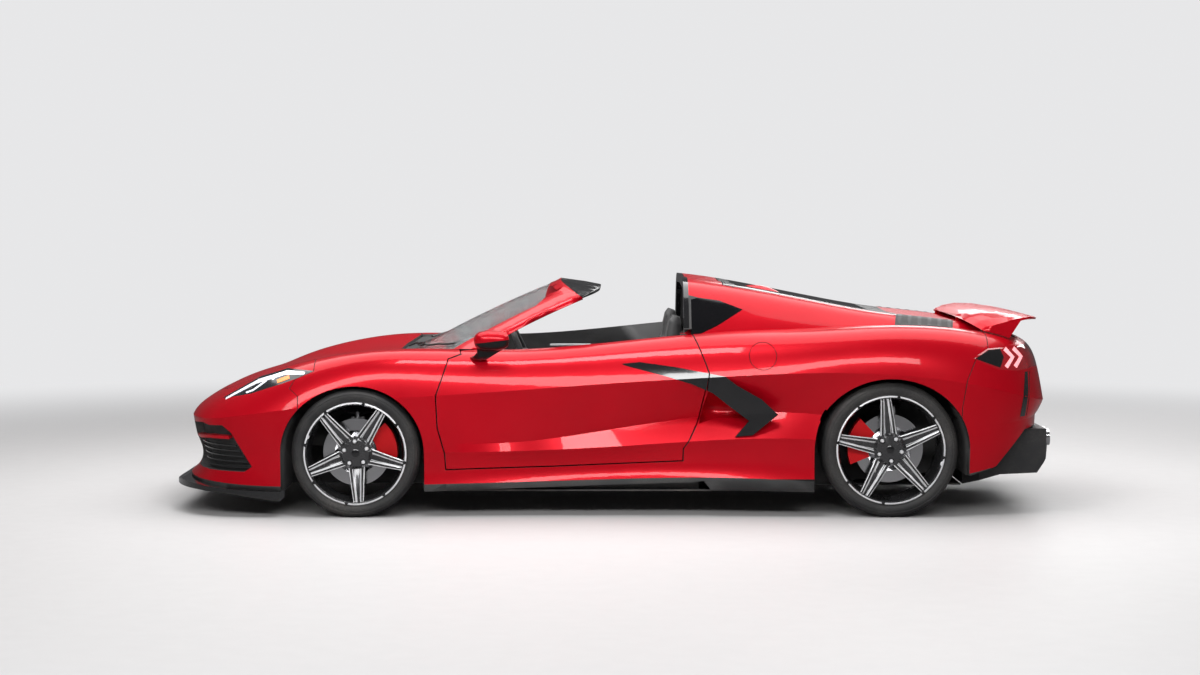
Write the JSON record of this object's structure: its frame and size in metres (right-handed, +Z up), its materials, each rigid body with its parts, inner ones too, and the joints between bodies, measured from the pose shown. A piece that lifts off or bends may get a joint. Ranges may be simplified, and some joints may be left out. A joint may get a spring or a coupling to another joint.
{
  "type": "open-top sports car",
  "caption": "Mid-engined two-seat open car, parked with its roof panel off, with steering, turning wheels, doors, hood and rear hatch.",
  "frame": {"origin": "middle of the wheelbase-and-overhang box on the ground, on the centre line", "axes": "+X to the tail, +Y to the car's right side, +Z up; the nose points to -X"},
  "size_m": [4.589, 2.08, 1.209],
  "materials": {
    "body_paint": "gloss",
    "black_trim": "satin",
    "gloss_black": "gloss",
    "headlamp": "gloss",
    "tail_lamp": "gloss",
    "glass": "gloss",
    "dark_glass": "gloss",
    "bright_steel": "polished",
    "cabin_trim": "satin",
    "seat_leather": "satin",
    "cast_alloy": "satin",
    "tub_alloy": "satin",
    "caliper_paint": "gloss",
    "tyre": "matte",
    "wheel_alloy": "gloss",
    "disc_iron": "satin"
  },
  "bodies": {
    "root": {"front_bumper": "body_paint", "rear_bumper": "body_paint", "front_fenders": "body_paint", "right_quarter": "body_paint", "left_quarter": "body_paint", "side_skirts": "body_paint", "windscreen_frame": "body_paint", "headlamps": "headlamp", "tail_lamps": "tail_lamp", "cowl_panel": "black_trim", "front_grilles": "black_trim", "side_blades": "gloss_black", "front_splitter": "black_trim", "rear_diffuser": "black_trim", "hoop_seal": "gloss_black", "undertray": "black_trim", "front_luggage_tub": "black_trim", "rear_luggage_tub": "black_trim", "windscreen": "glass", "quarter_windows": "dark_glass", "exhaust_tips": "bright_steel", "dashboard": "cabin_trim", "centre_console": "cabin_trim", "seats": "seat_leather", "engine_block": "cast_alloy", "front_suspension": "cast_alloy", "rear_suspension": "cast_alloy", "rear_calipers": "caliper_paint", "chassis_tub": "tub_alloy"},
    "left_front_knuckle": {"left_front_knuckle": "cast_alloy", "left_front_caliper": "caliper_paint"},
    "right_front_knuckle": {"right_front_knuckle": "cast_alloy", "right_front_caliper": "caliper_paint"},
    "steering_wheel": {"steering_wheel": "cabin_trim"},
    "left_door": {"left_door": "body_paint", "left_door_blade": "gloss_black", "left_mirror": "body_paint"},
    "right_door": {"right_door": "body_paint", "right_door_blade": "gloss_black", "right_mirror": "body_paint"},
    "hood": {"hood": "body_paint"},
    "hatch": {"hatch_frame": "body_paint", "hatch_glass": "dark_glass", "rear_spoiler": "body_paint"},
    "left_front_wheel": {"left_front_tyre": "tyre", "left_front_rim": "wheel_alloy", "left_front_disc": "disc_iron"},
    "left_rear_wheel": {"left_rear_tyre": "tyre", "left_rear_rim": "wheel_alloy", "left_rear_disc": "disc_iron"},
    "right_front_wheel": {"right_front_tyre": "tyre", "right_front_rim": "wheel_alloy", "right_front_disc": "disc_iron"},
    "right_rear_wheel": {"right_rear_tyre": "tyre", "right_rear_rim": "wheel_alloy", "right_rear_disc": "disc_iron"}
  },
  "joints": [
    {"name": "left_steer", "type": "hinge", "parent": "root", "child": "left_front_knuckle", "pos_m": [-1.33, -0.79, 0.327], "axis": [0, 0, 1], "range_deg": [-33, 33]},
    {"name": "right_steer", "type": "hinge", "parent": "root", "child": "right_front_knuckle", "pos_m": [-1.33, 0.79, 0.327], "axis": [0, 0, 1], "range_deg": [-33, 33]},
    {"name": "steering_wheel_turn", "type": "hinge", "parent": "root", "child": "steering_wheel", "pos_m": [-0.478, -0.386, 0.782], "axis": [0.9135, 0, 0.4067], "range_deg": [-520, 520]},
    {"name": "left_front_spin", "type": "hinge", "parent": "left_front_knuckle", "child": "left_front_wheel", "pos_m": [-1.33, -0.824, 0.327], "axis": [0, 1, 0], "continuous": true},
    {"name": "left_rear_spin", "type": "hinge", "parent": "root", "child": "left_rear_wheel", "pos_m": [1.393, -0.793, 0.3455], "axis": [0, 1, 0], "continuous": true},
    {"name": "left_door_swing", "type": "hinge", "parent": "root", "child": "left_door", "pos_m": [-0.819, -0.904, 0.5], "axis": [0, 0, -1], "range_deg": [0, 65]},
    {"name": "right_front_spin", "type": "hinge", "parent": "right_front_knuckle", "child": "right_front_wheel", "pos_m": [-1.33, 0.824, 0.327], "axis": [0, 1, 0], "continuous": true},
    {"name": "right_rear_spin", "type": "hinge", "parent": "root", "child": "right_rear_wheel", "pos_m": [1.393, 0.793, 0.3455], "axis": [0, 1, 0], "continuous": true},
    {"name": "right_door_swing", "type": "hinge", "parent": "root", "child": "right_door", "pos_m": [-0.819, 0.904, 0.5], "axis": [0, 0, 1], "range_deg": [0, 65]},
    {"name": "hood_lift", "type": "hinge", "parent": "root", "child": "hood", "pos_m": [-1.152, 0, 0.83639], "axis": [0, 1, 0], "range_deg": [0, 50]},
    {"name": "hatch_lift", "type": "hinge", "parent": "root", "child": "hatch", "pos_m": [0.61, 0, 1.15596], "axis": [0, -1, 0], "range_deg": [0, 45]}
  ],
  "couplings": [
    {"joint": "right_steer", "follows": "left_steer", "ratio": 1},
    {"joint": "steering_wheel_turn", "follows": "left_steer", "ratio": 15.7}
  ]
}
